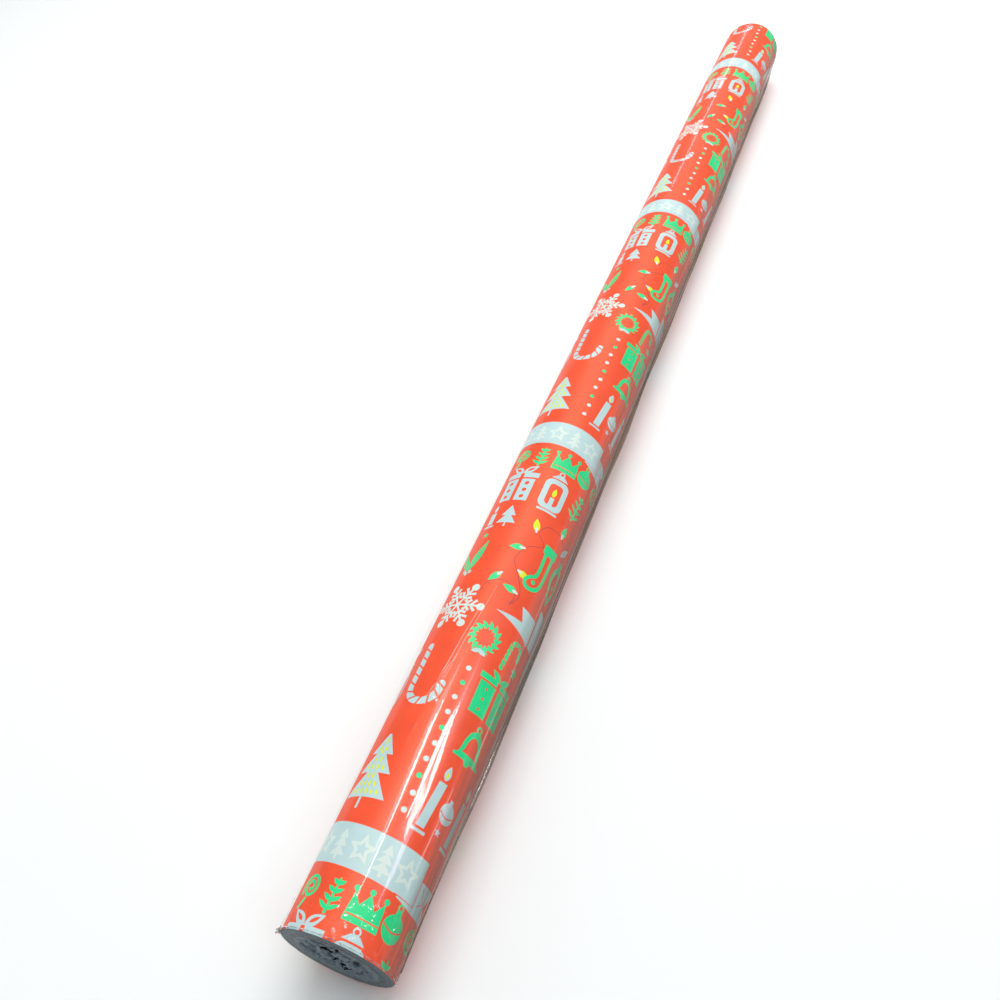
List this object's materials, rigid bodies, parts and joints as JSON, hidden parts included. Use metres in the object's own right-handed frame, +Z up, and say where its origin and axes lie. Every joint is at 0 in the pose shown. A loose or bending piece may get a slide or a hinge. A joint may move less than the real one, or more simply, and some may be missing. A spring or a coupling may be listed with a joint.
{
  "type": "wrapping paper roll",
  "caption": "Printed gift wrap wound on a board core, in clear shrink film with gathered ends and a welded fin along one side.",
  "frame": {"origin": "centre of the core's bore, half way along the roll", "axes": "+X along the roll towards the far end, +Z up as the roll lies on its side"},
  "size_m": [0.7006, 0.0431, 0.0414],
  "materials": {
    "core_board": "spiral-wound brown board",
    "paper_back": "white unprinted back and cut edges",
    "printed_paper": "red ground printed in pale blue, green and yellow, gloss",
    "clear_film": "clear shrink film, high gloss"
  },
  "bodies": {
    "paper_roll": {"wound_paper": "paper_back", "outer_turn": "printed_paper"},
    "core": {"core_inner_ply": "core_board", "core_middle_ply": "core_board", "core_outer_ply": "core_board"},
    "film": {"film_sleeve": "clear_film", "film_seam": "clear_film", "film_end_far": "clear_film"},
    "near_end": {"film_end_near": "clear_film"}
  },
  "joints": [
    {"name": "sleeve_pull", "type": "slide", "parent": "paper_roll", "child": "film", "axis": [1, 0, 0], "range_m": [0, 0.72]},
    {"name": "near_end_pull", "type": "slide", "parent": "paper_roll", "child": "near_end", "axis": [-1, 0, 0], "range_m": [0, 0.06]},
    {"name": "core_spin", "type": "hinge", "parent": "paper_roll", "child": "core", "pos_m": [0, 0, 0], "axis": [1, 0, 0], "continuous": true}
  ]
}
